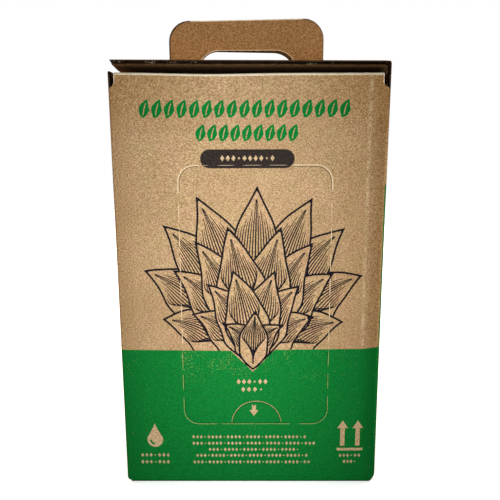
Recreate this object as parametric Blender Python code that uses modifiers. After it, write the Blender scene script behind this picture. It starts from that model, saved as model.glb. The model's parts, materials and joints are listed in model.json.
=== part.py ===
"""Corrugated board carry carton of a mushroom growing kit.

Metres, +Z up. The origin is the middle of the base, and the front faces -Y.
The carton is a folded case: four walls and a slotted base, a front and a rear
flap that meet in the middle and rise as the two layers of a handle, a short
flap on the left wall, and a lid on the right wall whose slot the handle comes
through.
"""
import math

import bmesh
import bpy
from mathutils import Matrix, Vector

# Driving dimensions of the carton
WIDTH = 0.200
DEPTH = 0.130
HEIGHT = 0.317
BOARD = 0.0035
GAP = 0.0003
CORNER_RADIUS = 0.0025
FOLD_RADIUS = 0.0016

# Notches at the four top corners
NOTCH_WIDTH = 0.0038
NOTCH_HEIGHT = 0.0105
NOTCH_DEPTH = 0.0022

# Base flaps
BASE_FLAP_SIDE_INSET = 0.0022
BASE_SEAM = 0.0008
BASE_TUCK_LENGTH = 0.060

# Short flap of the left wall, under the lid
SIDE_FLAP_LENGTH = 0.030
SIDE_FLAP_CREASE = 0.0038
SIDE_FLAP_SETBACK = 0.0165
SIDE_FLAP_TAPER = 0.005

# Lid on the right wall, sprung up a little at its free end
LID_LEVEL = 0.0047
LID_FREE_RISE = 0.0016
LID_FREE_INSET = 0.0020
LID_SIDE_INSET = 0.0006
SLOT_NEAR = 0.0382
SLOT_FAR = 0.1710
SLOT_WIDTH = 0.0088

# Handle of two layers, each the end of its own flap
HANDLE_CENTRE = -0.0024
HANDLE_WIDTH = 0.1256
HANDLE_HEIGHT = 0.0518
HANDLE_RADIUS = 0.0165
HOLE_WIDTH = 0.0890
HOLE_TOP = 0.0269
HOLE_FOOT = 0.0030
HOLE_RADIUS = 0.0200
HOLE_FOOT_RADIUS = 0.0030
FRONT_SKEW = math.radians(0.6)
REAR_SKEW = math.radians(-0.2)
REAR_HOLE_SKEW = math.radians(-1.0)
REAR_SHIFT = 0.0012
REAR_DROP = 0.0004

# Values that follow from them
HALF_WIDTH = WIDTH / 2
HALF_DEPTH = DEPTH / 2
INNER_HALF_WIDTH = HALF_WIDTH - BOARD
INNER_HALF_DEPTH = HALF_DEPTH - BOARD
HANDLE_HALF_DEPTH = BOARD + GAP / 2
PANEL_SEAM = GAP
LID_TILT = math.atan(LID_FREE_RISE / WIDTH)
OVERCUT = 0.005
ARC_STEPS = 8

KRAFT = (0.42, 0.27, 0.145, 1.0)
PRINTED = (0.40, 0.27, 0.15, 1.0)


def clear_scene():
    for old in list(bpy.data.objects):
        bpy.data.objects.remove(old, do_unlink=True)


def new_collection(name):
    collection = bpy.data.collections.new(name)
    bpy.context.scene.collection.children.link(collection)
    return collection


def board_material(name, colour):
    material = bpy.data.materials.new(name)
    material.use_nodes = True
    shader = material.node_tree.nodes["Principled BSDF"]
    shader.inputs["Base Color"].default_value = colour
    shader.inputs["Roughness"].default_value = 0.85
    shader.inputs["Metallic"].default_value = 0.0
    return material


def add_object(name, mesh, collection, material=None):
    thing = bpy.data.objects.new(name, mesh)
    collection.objects.link(thing)
    if material is not None:
        mesh.materials.append(material)
    return thing


def block(name, low, high, collection, material=None):
    """A box between two corners, with its origin at its middle."""
    low = Vector(low)
    high = Vector(high)
    form = bmesh.new()
    bmesh.ops.create_cube(form, size=1.0)
    bmesh.ops.scale(form, vec=high - low, verts=form.verts)
    mesh = bpy.data.meshes.new(name)
    form.to_mesh(mesh)
    form.free()
    thing = add_object(name, mesh, collection, material)
    thing.location = (low + high) / 2
    return thing


def prism(name, outline, plane, low, high, collection, material=None):
    """A flat outline given thickness along the axis that its plane leaves out."""
    curve = bpy.data.curves.new(name, "CURVE")
    curve.dimensions = "2D"
    curve.fill_mode = "BOTH"
    curve.extrude = (high - low) / 2
    spline = curve.splines.new("POLY")
    spline.points.add(len(outline) - 1)
    for point, (u, v) in zip(spline.points, outline):
        point.co = (u, v, 0.0, 1.0)
    spline.use_cyclic_u = True
    sketch = bpy.data.objects.new(name + "_sketch", curve)
    collection.objects.link(sketch)
    bpy.context.view_layer.update()
    graph = bpy.context.evaluated_depsgraph_get()
    mesh = bpy.data.meshes.new_from_object(sketch.evaluated_get(graph))
    bpy.data.objects.remove(sketch, do_unlink=True)
    bpy.data.curves.remove(curve)
    mesh.name = name
    middle = (low + high) / 2
    if plane == "XZ":
        turn = Matrix.Translation((0.0, middle, 0.0)) @ Matrix.Rotation(math.pi / 2, 4, "X")
    else:
        turn = Matrix.Translation((0.0, 0.0, middle))
    form = bmesh.new()
    form.from_mesh(mesh)
    bmesh.ops.remove_doubles(form, verts=form.verts, dist=0.000001)
    bmesh.ops.transform(form, matrix=turn, verts=form.verts)
    bmesh.ops.recalc_face_normals(form, faces=form.faces)
    form.to_mesh(mesh)
    form.free()
    return add_object(name, mesh, collection, material)


def rounded_outline(left, right, foot, top, foot_radius, top_radius):
    """Corner points of a rectangle with round corners, anticlockwise."""
    corners = (
        (right - foot_radius, foot + foot_radius, foot_radius, -90),
        (right - top_radius, top - top_radius, top_radius, 0),
        (left + top_radius, top - top_radius, top_radius, 90),
        (left + foot_radius, foot + foot_radius, foot_radius, 180),
    )
    points = []
    for centre_u, centre_v, radius, start in corners:
        steps = ARC_STEPS if radius > 0 else 0
        for step in range(steps + 1):
            angle = math.radians(start + 90 * step / max(steps, 1))
            points.append((centre_u + radius * math.cos(angle), centre_v + radius * math.sin(angle)))
    return points


def sheared(points, centre_u, angle, above):
    """Outline points raised or lowered with their distance from a centre."""
    slope = math.tan(angle)
    return [(u, v + slope * (u - centre_u)) if v > above else (u, v) for u, v in points]


def moved(points, shift_u, shift_v):
    return [(u + shift_u, v + shift_v) for u, v in points]


def hide_cutter(cutter):
    cutter.hide_render = True
    cutter.display_type = "WIRE"


def cut(target, cutter, operation="DIFFERENCE"):
    """Add an exact Boolean and hide the object that drives it."""
    modifier = target.modifiers.new(cutter.name, "BOOLEAN")
    modifier.operation = operation
    modifier.solver = "EXACT"
    modifier.object = cutter
    hide_cutter(cutter)


def round_edges(thing, radius, test, segments=3):
    """Bevel the edges of a box whose two end points pass a test."""
    mesh = thing.data
    weights = mesh.attributes.new("bevel_weight_edge", "FLOAT", "EDGE")
    for edge in mesh.edges:
        ends = [mesh.vertices[index].co for index in edge.vertices]
        weights.data[edge.index].value = 1.0 if test(ends[0], ends[1]) else 0.0
    modifier = thing.modifiers.new("folds", "BEVEL")
    modifier.limit_method = "WEIGHT"
    modifier.width = radius
    modifier.segments = segments
    modifier.use_clamp_overlap = True


def is_upright(a, b):
    return abs(a.x - b.x) < 1e-6 and abs(a.y - b.y) < 1e-6


def make_carton_body(parts, cutters, material):
    """Four walls, open above and below, cut down to the height of each flap."""
    foot = BOARD + GAP
    crown = HEIGHT + LID_LEVEL - GAP
    walls = block(
        "carton_body", (-HALF_WIDTH, -HALF_DEPTH, foot), (HALF_WIDTH, HALF_DEPTH, crown), parts, material
    )
    round_edges(walls, CORNER_RADIUS, is_upright)
    inside = block(
        "cut_inside",
        (-INNER_HALF_WIDTH, -INNER_HALF_DEPTH, foot - OVERCUT),
        (INNER_HALF_WIDTH, INNER_HALF_DEPTH, crown + OVERCUT),
        cutters,
    )
    cut(walls, inside)
    reach = HALF_WIDTH + OVERCUT
    above = crown + OVERCUT
    under_flaps = HEIGHT - BOARD - GAP
    inner = INNER_HALF_WIDTH
    trims = (
        ("cut_under_handle_flaps", (-inner, -reach, under_flaps), (inner, reach, above)),
        ("cut_under_side_flap", (-reach, -reach, HEIGHT), (-inner + GAP, reach, above)),
    )
    for name, low, high in trims:
        cut(walls, block(name, low, high, cutters))
    for label, side, end in (("left", -1, -1), ("right", 1, -1), ("rear_left", -1, 1), ("rear_right", 1, 1)):
        span_x = sorted((side * reach, side * (HALF_WIDTH - NOTCH_WIDTH)))
        span_y = sorted((end * reach, end * (HALF_DEPTH - NOTCH_DEPTH)))
        low = (span_x[0], span_y[0], HEIGHT - NOTCH_HEIGHT)
        high = (span_x[1], span_y[1], above)
        cut(walls, block("cut_notch_" + label, low, high, cutters))
    return walls


def make_base(parts, printed, kraft):
    """Two outer flaps that meet on the centre line, under two inner ones."""
    side = HALF_WIDTH - BASE_FLAP_SIDE_INSET
    seam = BASE_SEAM / 2
    block("base_flap_front", (-side, -HALF_DEPTH, 0), (side, -seam, BOARD), parts, printed)
    block("base_flap_rear", (-side, seam, 0), (side, HALF_DEPTH, BOARD), parts, printed)
    low = BOARD + GAP
    high = low + BOARD
    wide = INNER_HALF_WIDTH - GAP
    deep = INNER_HALF_DEPTH - GAP
    block("base_tuck_left", (-wide, -deep, low), (-wide + BASE_TUCK_LENGTH, deep, high), parts, kraft)
    block("base_tuck_right", (wide - BASE_TUCK_LENGTH, -deep, low), (wide, deep, high), parts, kraft)


def make_handle_flap(label, parts, cutters, material):
    """From the fold at the top of the front or rear wall to the middle, then up."""
    end = -1 if label == "front" else 1
    side = INNER_HALF_WIDTH - GAP
    span_y = sorted((end * HALF_DEPTH, end * PANEL_SEAM))
    flap = block(
        "handle_flap_" + label,
        (-side, span_y[0], HEIGHT - BOARD),
        (side, span_y[1], HEIGHT),
        parts,
        material,
    )

    def is_outer_fold(a, b):
        return a.y * end > 0 and b.y * end > 0 and a.z > 0 and b.z > 0

    round_edges(flap, FOLD_RADIUS, is_outer_fold)
    left = HANDLE_CENTRE - HANDLE_WIDTH / 2
    right = HANDLE_CENTRE + HANDLE_WIDTH / 2
    foot = HEIGHT - BOARD / 2
    riser = rounded_outline(left, right, foot, HEIGHT + HANDLE_HEIGHT, 0.0, HANDLE_RADIUS)
    hole = rounded_outline(
        HANDLE_CENTRE - HOLE_WIDTH / 2,
        HANDLE_CENTRE + HOLE_WIDTH / 2,
        HEIGHT + HOLE_FOOT,
        HEIGHT + HOLE_TOP,
        HOLE_FOOT_RADIUS,
        HOLE_RADIUS,
    )
    if label == "front":
        riser = sheared(riser, HANDLE_CENTRE, FRONT_SKEW, HEIGHT)
    else:
        riser = sheared(riser, HANDLE_CENTRE, REAR_SKEW, HEIGHT)
        riser = moved(riser, -REAR_SHIFT, 0.0)
        hole = sheared(hole, HANDLE_CENTRE, REAR_HOLE_SKEW, HEIGHT)
        hole = moved(hole, -REAR_SHIFT, -REAR_DROP)
    span_y = sorted((end * HANDLE_HALF_DEPTH, end * GAP / 2))
    layer = prism("join_handle_" + label, riser, "XZ", span_y[0], span_y[1], cutters)
    cut(flap, layer, "UNION")
    hole_cutter = prism(
        "cut_hole_" + label, hole, "XZ", span_y[0] - OVERCUT, span_y[1] + OVERCUT, cutters
    )
    cut(flap, hole_cutter)
    return flap


def make_side_flap(parts, material):
    """The short flap of the left wall, as long as the wall only along its crease."""
    outer = -HALF_WIDTH
    crease = outer + SIDE_FLAP_CREASE
    inner = outer + SIDE_FLAP_LENGTH
    ends = HALF_DEPTH - NOTCH_DEPTH
    back = ends - SIDE_FLAP_SETBACK
    tip = back - SIDE_FLAP_TAPER
    half = [(outer, ends), (crease, ends), (crease, back), (inner, tip)]
    outline = half + [(x, -y) for x, y in reversed(half)]
    low = HEIGHT + GAP
    return prism("side_flap_left", outline, "XY", low, low + BOARD, parts, material)


def make_lid(parts, cutters, material):
    """A flat lid on the crease of the right wall, with the slot for the handle."""
    hinge = Vector((HALF_WIDTH, 0.0, HEIGHT + LID_LEVEL))
    deep = HALF_DEPTH - LID_SIDE_INSET
    lid = block("lid", (-WIDTH + LID_FREE_INSET, -deep, 0.0), (-GAP, deep, BOARD), parts, material)
    lid.data.transform(Matrix.Translation(lid.location))
    lid.location = (0.0, 0.0, 0.0)
    slot = block(
        "cut_lid_slot",
        (-SLOT_FAR, -SLOT_WIDTH / 2, -OVERCUT),
        (-SLOT_NEAR, SLOT_WIDTH / 2, BOARD + OVERCUT),
        cutters,
    )
    slot.parent = lid
    cut(lid, slot)
    lid.location = hinge
    lid.rotation_euler = (0.0, LID_TILT, 0.0)
    return lid


def main():
    clear_scene()
    parts = new_collection("grow_kit_carton")
    cutters = new_collection("cutters")
    kraft = board_material("kraft_board", KRAFT)
    printed = board_material("printed_board", PRINTED)
    make_carton_body(parts, cutters, printed)
    make_base(parts, printed, kraft)
    make_handle_flap("front", parts, cutters, kraft)
    make_handle_flap("rear", parts, cutters, kraft)
    make_side_flap(parts, kraft)
    make_lid(parts, cutters, kraft)


main()
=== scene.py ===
"""Looks of the grow kit carton: its corrugated board, its print, light and camera.

Metres, +Z up, the front towards -Y. Every sheet of board is built as the real one is:
two liners with a wavy medium between them. A board is drawn flat, in the two
directions of its sheet, and a function then folds it into place.
"""
import json
import math

import bmesh
import bpy
from mathutils import Matrix, Vector
from mathutils.geometry import delaunay_2d_cdt


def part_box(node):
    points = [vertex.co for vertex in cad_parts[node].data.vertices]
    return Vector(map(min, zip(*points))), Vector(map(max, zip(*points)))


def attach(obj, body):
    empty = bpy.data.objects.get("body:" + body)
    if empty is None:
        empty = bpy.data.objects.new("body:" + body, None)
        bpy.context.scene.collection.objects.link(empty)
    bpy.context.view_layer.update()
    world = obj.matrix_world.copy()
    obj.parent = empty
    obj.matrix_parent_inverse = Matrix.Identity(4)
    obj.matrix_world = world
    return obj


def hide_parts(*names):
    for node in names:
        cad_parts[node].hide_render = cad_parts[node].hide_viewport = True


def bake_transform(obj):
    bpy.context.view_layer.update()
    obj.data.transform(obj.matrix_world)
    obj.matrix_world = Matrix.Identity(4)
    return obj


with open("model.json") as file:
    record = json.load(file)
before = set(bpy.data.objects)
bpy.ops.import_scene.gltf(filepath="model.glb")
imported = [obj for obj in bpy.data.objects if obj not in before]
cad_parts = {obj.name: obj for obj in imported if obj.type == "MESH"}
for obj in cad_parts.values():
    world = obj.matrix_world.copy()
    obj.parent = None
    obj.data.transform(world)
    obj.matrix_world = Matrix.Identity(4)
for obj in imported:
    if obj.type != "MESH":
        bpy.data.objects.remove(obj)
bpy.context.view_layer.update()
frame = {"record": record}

MM = 0.001

# Sizes read from the frame
WALLS_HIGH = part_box("carton_body")[1]
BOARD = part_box("base_flap_front")[1][2]
HALF_WIDTH = WALLS_HIGH[0]
HALF_DEPTH = WALLS_HIGH[1]
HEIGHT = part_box("handle_flap_front")[0][2] + BOARD
INNER_WIDTH = HALF_WIDTH - BOARD
INNER_DEPTH = HALF_DEPTH - BOARD
HINGE_Z = frame["record"]["behaviour"]["joints"][0]["pos_m"][2]

# Corrugated board
LINER = 0.75 * MM
MEDIUM = 0.30 * MM
FLUTE_PITCH = 6.6 * MM
FLUTE_STEPS = 12
FLUTE_PLAY = 0.02 * MM
FLUTE_DRIFT = 0.010

# Folds of the walls
CORNER = 2.5 * MM
CORNER_STEPS = 7
INNER_CORNER = 0.5 * MM
TOP_FOLD = 1.6 * MM
FOOT_FOLD = 3.9 * MM
INNER_FOLD = 0.4 * MM
FOLD_STEPS = 6
GLUE_GAP = 0.35 * MM
PANEL_FOOT = 8 * MM
BOW = 0.2 * MM
FRONT_EDGE_FALL = 0.4 * MM
FRONT_SWELL = 0.08 * MM
RELIEF_LINE = 86 * MM
RELIEF_FALL = 3.0 * MM
FOLD_RISE_LEFT = 1.35 * MM
FOLD_RISE_RIGHT = 0.5 * MM

# Slots between the flaps, with round ends, at the corners of the walls
SLOT_SIDE = HALF_WIDTH - 4.6 * MM
SLOT_SIDE_RIGHT = HALF_WIDTH - 5.3 * MM
SLOT_FAR = 101.1 * MM
SLOT_END = HEIGHT - 10.6 * MM
SLOT_END_RISE = 4.2 * MM
FRONT_SEAM = HEIGHT - 4.0 * MM
SIDE_SEAM = HEIGHT - 0.6 * MM
FOOT_SEAM = 4.4 * MM
SIDE_FOOT_SEAM = 8.0 * MM
FOOT_LEFT = -96.7 * MM
FOOT_RIGHT = 95.6 * MM
FOOT_REAR = 97.0 * MM
FLAP_SIDE = 62.8 * MM
CUT_RIM = 0.55 * MM

# The ring of walls: u runs round the carton from the middle of the front, v is the height
FACE = HALF_WIDTH - CORNER
SIDE = HALF_DEPTH - CORNER
TURN = CORNER * math.pi / 2
RING_START = -(FACE + TURN + 2 * SIDE)
RING_END = 3 * FACE + 2 * TURN + 2 * SIDE + TURN

# How far lines and inks run, well beyond the sheets that they cross
ABOVE = 0.4
BESIDE = 0.2
BEYOND = 0.01
BELOW = -0.02

# Material indices shared by every piece of board
KRAFT, GREEN, LINE_INK, PILL_INK, SLIT, CUT_EDGE, INSIDE = range(7)
WORN_HIGHLIGHT, HANDLE_SHADE_RIM, LINER_EDGE, INNER, KRAFT_SHADE, GREEN_SHADE, PANEL, PRESSED_HIGHLIGHT, MARK = range(7, 16)


def clamp(value, low, high):
    return max(low, min(high, value))


def mix(a, b, share):
    return a + (b - a) * share


def ease(value):
    value = clamp(value, 0.0, 1.0)
    return value * value * (3.0 - 2.0 * value)


def show(name, data):
    """Put a new object into the scene."""
    thing = bpy.data.objects.new(name, data)
    bpy.context.scene.collection.objects.link(thing)
    return thing


# Flat drawing
def mm(*points):
    """Points given in millimetres."""
    return [(u * MM, v * MM) for u, v in points]


def box(left, right, low, high):
    return [(left, low), (right, low), (right, high), (left, high)]


def mirrored(half):
    """A closed outline from one half of it."""
    return half + [(-u, v) for u, v in half[::-1]]


def oval(centre_u, centre_v, radius_u, radius_v, start, end, steps):
    """Points of an elliptical arc; the angles are in degrees."""
    angles = [math.radians(mix(start, end, step / steps)) for step in range(steps + 1)]
    return [(centre_u + radius_u * math.cos(turn), centre_v + radius_v * math.sin(turn)) for turn in angles]


def arc(centre_u, centre_v, radius, start, end, steps):
    return oval(centre_u, centre_v, radius, radius, start, end, steps)


def rounded(left, right, foot, top, radius, steps):
    """A rectangle with round corners, anticlockwise from its lower right corner."""
    near, far, low, high = left + radius, right - radius, foot + radius, top - radius
    points = []
    for corner, (u, v) in enumerate(((far, low), (far, high), (near, high), (near, low))):
        points += arc(u, v, radius, 90 * corner - 90, 90 * corner, steps)
    return points


def moved(points, distances):
    """The points of a line, each moved square to the line, to its left."""
    shifted = []
    for index, ((u, v), distance) in enumerate(zip(points, distances)):
        back = points[max(index - 1, 0)]
        ahead = points[min(index + 1, len(points) - 1)]
        du = ahead[0] - back[0]
        dv = ahead[1] - back[1]
        size = math.hypot(du, dv) or 1.0
        shifted.append((u - dv / size * distance, v + du / size * distance))
    return shifted


def stroke(points, widths):
    """The outline of a line whose width may change along it."""
    halves = [width / 2 for width in widths]
    return moved(points, [-half for half in halves]) + moved(points, halves)[::-1]


def tapered(points, width):
    return stroke(points, [0.2 * width] + [width] * (len(points) - 2) + [0.2 * width])


def travel(path, distance):
    """The point that lies this far along a path."""
    for start, end in zip(path, path[1:]):
        size = math.dist(start, end)
        if distance <= size:
            return tuple(mix(a, b, distance / size) for a, b in zip(start, end))
        distance -= size
    return path[-1]


def path_length(path):
    return sum(math.dist(start, end) for start, end in zip(path, path[1:]))


def stretch(path, start, end, spacing):
    """Evenly spaced points of the part of a path between two distances."""
    steps = max(2, math.ceil((end - start) / spacing))
    return [travel(path, mix(start, end, step / steps)) for step in range(steps + 1)]


# Print on the front panel, in metres right of its middle and above the floor
OUTLINE = 1.45 * MM
VEIN = 0.90 * MM
RIB = 1.1 * MM
LEAF_STEPS = 24
RIB_STEPS = 12
THINNEST = 0.02 * MM
SPRAY_FOOT = (2.0 * MM, 97 * MM)
SPRAY_WIDE = 88 * MM
SPRAY_HIGH = 142 * MM

# Rows of the spray: reach and start along the leaf's line, half width, veins and leans
SPRAY_ROWS = (
    (1.00, 0.30, 20.0 * MM, 7, (-66, -45, -23, 1, 25, 47, 68)),
    (0.80, 0.13, 19.5 * MM, 7, (-78, -55, -33, -11, 13, 35, 57, 79)),
    (0.57, 0.03, 17.0 * MM, 6, (-66, -39, -13, 15, 41, 68)),
    (0.34, 0.00, 12.0 * MM, 5, (-48, 2, 50)),
)

# Rules that stand for small print: height, middle, left and right, in millimetres
SMALL_RULES = (
    (3.2, 24.5, 70, 88), (3.2, 19.2, 73.5, 84.5), (3.5, 24.9, -88.4, -64.5), (3.5, 18.9, -88.4, -64.5),
    (4.4, 87.3, -11.3, 13.8), (4.4, 80.9, -8, 10.5), (3.1, 40.6, -46.9, 44.5), (3.1, 35.1, -46.9, 51.8),
    (3.1, 29.7, -34, 39), (3.1, 24.5, -44, 46), (3.1, 18.8, -46.5, 48),
)
SIDE_BAND = 239 * MM
REAR_BAND = 112 * MM


class Leaf:
    """A leaf along a bent midrib, on the flat sheet."""

    def __init__(self, base, tip, half_width, bend, wave=0.0):
        self.base = Vector(base)
        self.axis = Vector(tip) - self.base
        self.length = self.axis.length
        self.side = Vector((-self.axis.y, self.axis.x)) / self.length
        self.half_width = half_width
        self.bend = bend
        self.wave = wave

    def spot(self, share, across):
        """The point this share of the way to the tip and this far to the left of the midrib."""
        along = self.base + self.axis * share + self.side * self.bend * 4 * share * (1 - share)
        heading = self.axis + self.side * self.bend * 4 * (1 - 2 * share)
        return tuple(along + Vector((-heading.y, heading.x)).normalized() * across)

    def width(self, share):
        swell = 1.0 + 0.05 * math.sin(2 * math.pi * (2.5 * share + self.wave))
        return self.half_width * math.sin(math.pi * clamp(share, 0.0, 1.0) ** 0.8) * swell

    def inner_width(self, share, margin):
        """Half width that is left when a margin is taken off square to the outline."""
        step = 0.01
        rise = (self.width(share + step) - self.width(share - step)) / (2 * step * self.length)
        return self.width(share) - margin * math.hypot(1.0, rise)

    def outline(self, margin=0.0):
        shares = [step / LEAF_STEPS for step in range(1, LEAF_STEPS)]
        widths = [(share, self.inner_width(share, margin)) for share in shares]
        widths = [(share, wide) for share, wide in widths if wide > THINNEST]
        right = [self.spot(share, -wide) for share, wide in widths]
        left = [self.spot(share, wide) for share, wide in reversed(widths)]
        if margin == 0.0:
            return [self.spot(0.0, 0.0)] + right + [self.spot(1.0, 0.0)] + left
        return right + left

    def rib(self, start, end, fraction, thick):
        """A vein that leaves the midrib, runs at a fraction of the width and thins out."""
        points = []
        steps = [step / RIB_STEPS for step in range(RIB_STEPS + 1)]
        for share in (mix(start, end, step) for step in steps):
            apart = fraction * ease((share - start) / 0.3)
            points.append(self.spot(share, apart * self.inner_width(share, OUTLINE)))
        return stroke(points, [thick * mix(1.0, 0.5, ease((step - 0.7) / 0.3)) for step in steps])

    def inks(self, veins):
        """Outline, paper inside it, midrib and the veins beside it."""
        inks = [(self.outline(), LINE_INK), (self.outline(OUTLINE), KRAFT)]
        inks.append((self.rib(0.10, 0.9, 0.0, RIB), LINE_INK))
        for vein in range(1, veins + 1):
            fraction = vein / (veins + 0.7)
            start = 0.10 + 0.035 * vein
            end = 0.93 - 0.035 * vein if vein % 2 else 0.82 - 0.02 * vein
            inks += [(self.rib(start, end, way * fraction, VEIN), LINE_INK) for way in (-1, 1)]
        return inks


def spray():
    """A spray of broad leaves in rows, drawn from the back row to the front one."""
    inks = []
    for reach, start, half_width, veins, angles in SPRAY_ROWS:
        for angle in sorted(angles, key=lambda turn: -abs(turn)):
            lean = math.radians(abs(angle))
            way = math.copysign(1.0, angle)
            far_u = way * SPRAY_WIDE * math.sin(lean) ** 0.8
            far_v = SPRAY_HIGH * math.cos(lean) ** 0.65
            base = (SPRAY_FOOT[0] + far_u * start, SPRAY_FOOT[1] + far_v * start)
            tip = (SPRAY_FOOT[0] + far_u * reach, SPRAY_FOOT[1] + far_v * reach)
            bend = way * 0.09 * math.sin(lean) * math.hypot(far_u, far_v)
            inks += Leaf(base, tip, half_width, bend, 0.37 * angle).inks(veins)
    return inks


def garland(left, right, foot, top, leaves):
    """A row of solid leaning leaves, with dots between them, in the colour of the band."""
    inks = []
    height = top - foot
    pitch = (right - left) / leaves
    lean = 0.2 * pitch
    radius = 0.085 * height
    for index in range(leaves):
        u = left + pitch * (index + 0.5)
        blade = Leaf((u - lean, foot), (u + lean, top), 0.30 * height, 0.06 * height)
        inks.append((blade.outline(), GREEN))
        inks.append((blade.rib(0.14, 0.78, 0.0, 0.06 * height), KRAFT))
        if index < leaves - 1:
            inks.append((arc(u + pitch / 2 + lean, foot + radius, radius, 0, 345, 15), GREEN))
    return inks


def beads(left, right, middle, height):
    """A rule of small lozenges and dots."""
    inks = []
    count = max(2, round((right - left) / (0.98 * height)))
    for index in range(count):
        u = mix(left, right, (index + 0.5) / count)
        dot = arc(u, middle, 0.17 * height, 0, 330, 11)
        lozenge = oval(u, middle, 0.36 * height, 0.5 * height, 0, 270, 3)
        inks.append((dot if index % 5 == 3 else lozenge, MARK))
    return inks


def pill():
    left, right, foot, top = -35.7 * MM, 32.5 * MM, 251.5 * MM, 264.9 * MM
    inks = [(rounded(left, right, foot, top, (top - foot) / 2 - 0.01 * MM, 10), PILL_INK)]
    return inks + beads(left + 14 * MM, right - 14 * MM, (foot + top) / 2 + 0.4 * MM, 4.3 * MM)


def band():
    """The green field: low on the front, with a V, and on the rear, and higher on the sides."""
    left = RING_START - BEYOND
    right = RING_END + BEYOND
    fold = FACE + TURN
    rear_fold = fold + 2 * SIDE + TURN
    shape = [(left, -BEYOND), (right, -BEYOND), (right, REAR_BAND), (rear_fold, REAR_BAND)]
    shape += [(rear_fold, SIDE_BAND), (FACE + 1.5 * MM, SIDE_BAND), (FACE + 1.7 * MM, 114.8 * MM)]
    shape += mm((97.9, 114.3), (88, 114.0), (19.1, 113.4), (2.0, 95.5), (-15.0, 112.6), (-97.9, 113.5))
    shape += [(0.4 * MM - fold, 114.2 * MM), (0.3 * MM - fold, SIDE_BAND), (left, SIDE_BAND)]
    return [(shape, GREEN)]


def drop():
    """A drop of water with a crescent of light in it."""
    centre, foot, top, radius = -76.05 * MM, 32.0 * MM, 52.4 * MM, 6.3 * MM
    middle = foot + radius
    shoulder = middle + 2.7 * MM
    flank = [(0.9 * radius * (1 - share) ** 1.25, mix(shoulder, top, share)) for share in (0.25, 0.5, 0.75)]
    shape = arc(centre, middle, radius, 155, 385, 16) + [(centre + u, v) for u, v in flank]
    shape += [(centre, top)] + [(centre - u, v) for u, v in flank[::-1]]
    light = arc(centre, middle, 4.4 * MM, 185, 262, 8)
    light += oval(centre + 0.9 * MM, middle + 0.9 * MM, 4.1 * MM, 4.0 * MM, 258, 188, 8)
    return [(shape, MARK), (light, GREEN)]


def arrow(centre, tip, neck, tail, wide, stem, notch=()):
    """An upright arrow, as heights of its parts; a notch is the height of one in its tail."""
    half = [(wide / 2, neck), (stem, neck), (stem, tail)]
    shape = [(0.0, tip)] + half + [(0.0, v) for v in notch] + [(-u, v) for u, v in half[::-1]]
    return [([(centre + u, v) for u, v in shape], MARK)]


def down_arrow():
    middle, wide, half = 63.4 * MM, 7.0 * MM, 4.9 * MM
    stem = 0.22 * wide
    return arrow(2.7 * MM, middle - half, middle, middle + half, wide, stem, (middle + half - stem,))


def this_way_up():
    """Two arrows over a bar, the usual mark of a carton that has to stay upright."""
    left, right, foot, top = 68.6 * MM, 89.3 * MM, 28.8 * MM, 54.5 * MM
    wide = (right - left) * 0.42
    inks = [(box(left, right, foot, foot + 2.2 * MM), MARK)]
    for centre in (left + wide / 2, right - wide / 2):
        inks += arrow(centre, top, top - wide * 0.75, foot + 4.2 * MM, wide, wide * 0.2)
    return inks


def small_marks():
    """What lies on the green band, left unprinted so that the board shows."""
    inks = drop() + down_arrow() + this_way_up()
    for height, middle, left, right in SMALL_RULES:
        inks += beads(left * MM, right * MM, middle * MM, height * MM)
    return inks


# Perforation of the tear-out window: its cuts are spans of its outline, in millimetres
# from the middle of its foot to the right and on round it
DASH = 13.5
DASH_PITCH = 18.9
RIGHT_DASHES = 81.6
LEFT_DASHES = 384.4
SIDE_DASHES = 8
LONG_CUTS = ((0, 29), (35.5, 76.6), (236, 279), (346, 376.8), (535.4, 579.5), (581.5, 609.5))
PILL_CUTS = ((281.6, 295.5), (300.2, 314.5), (320.3, 333), (339.3, 344))
WINDOW = (-52.2 * MM, 60.3 * MM, 51.8 * MM, 253.6 * MM)
WINDOW_START = 1.4 * MM
WINDOW_RADIUS = 12 * MM
TAB_RISE = 19.2 * MM
TAB_END = 0.8 * MM
CUT_STEP = 2.5 * MM
SLIT_WIDTH = 0.50 * MM
SLIT_FLOOR = 0.20 * MM
SLIT_DEPTH = 0.38 * MM
SLIT_END = 0.5 * MM
PRESSED_WIDTH = 0.9 * MM
PILL_CUT_WIDTH = 0.3 * MM
BAND_CUTS = 111 * MM
SHADE_WIDTH = 0.55 * MM
KRAFT_SHADE_WIDTH = 0.77 * MM
SHADE_STEP = 0.75 * MM


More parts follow.
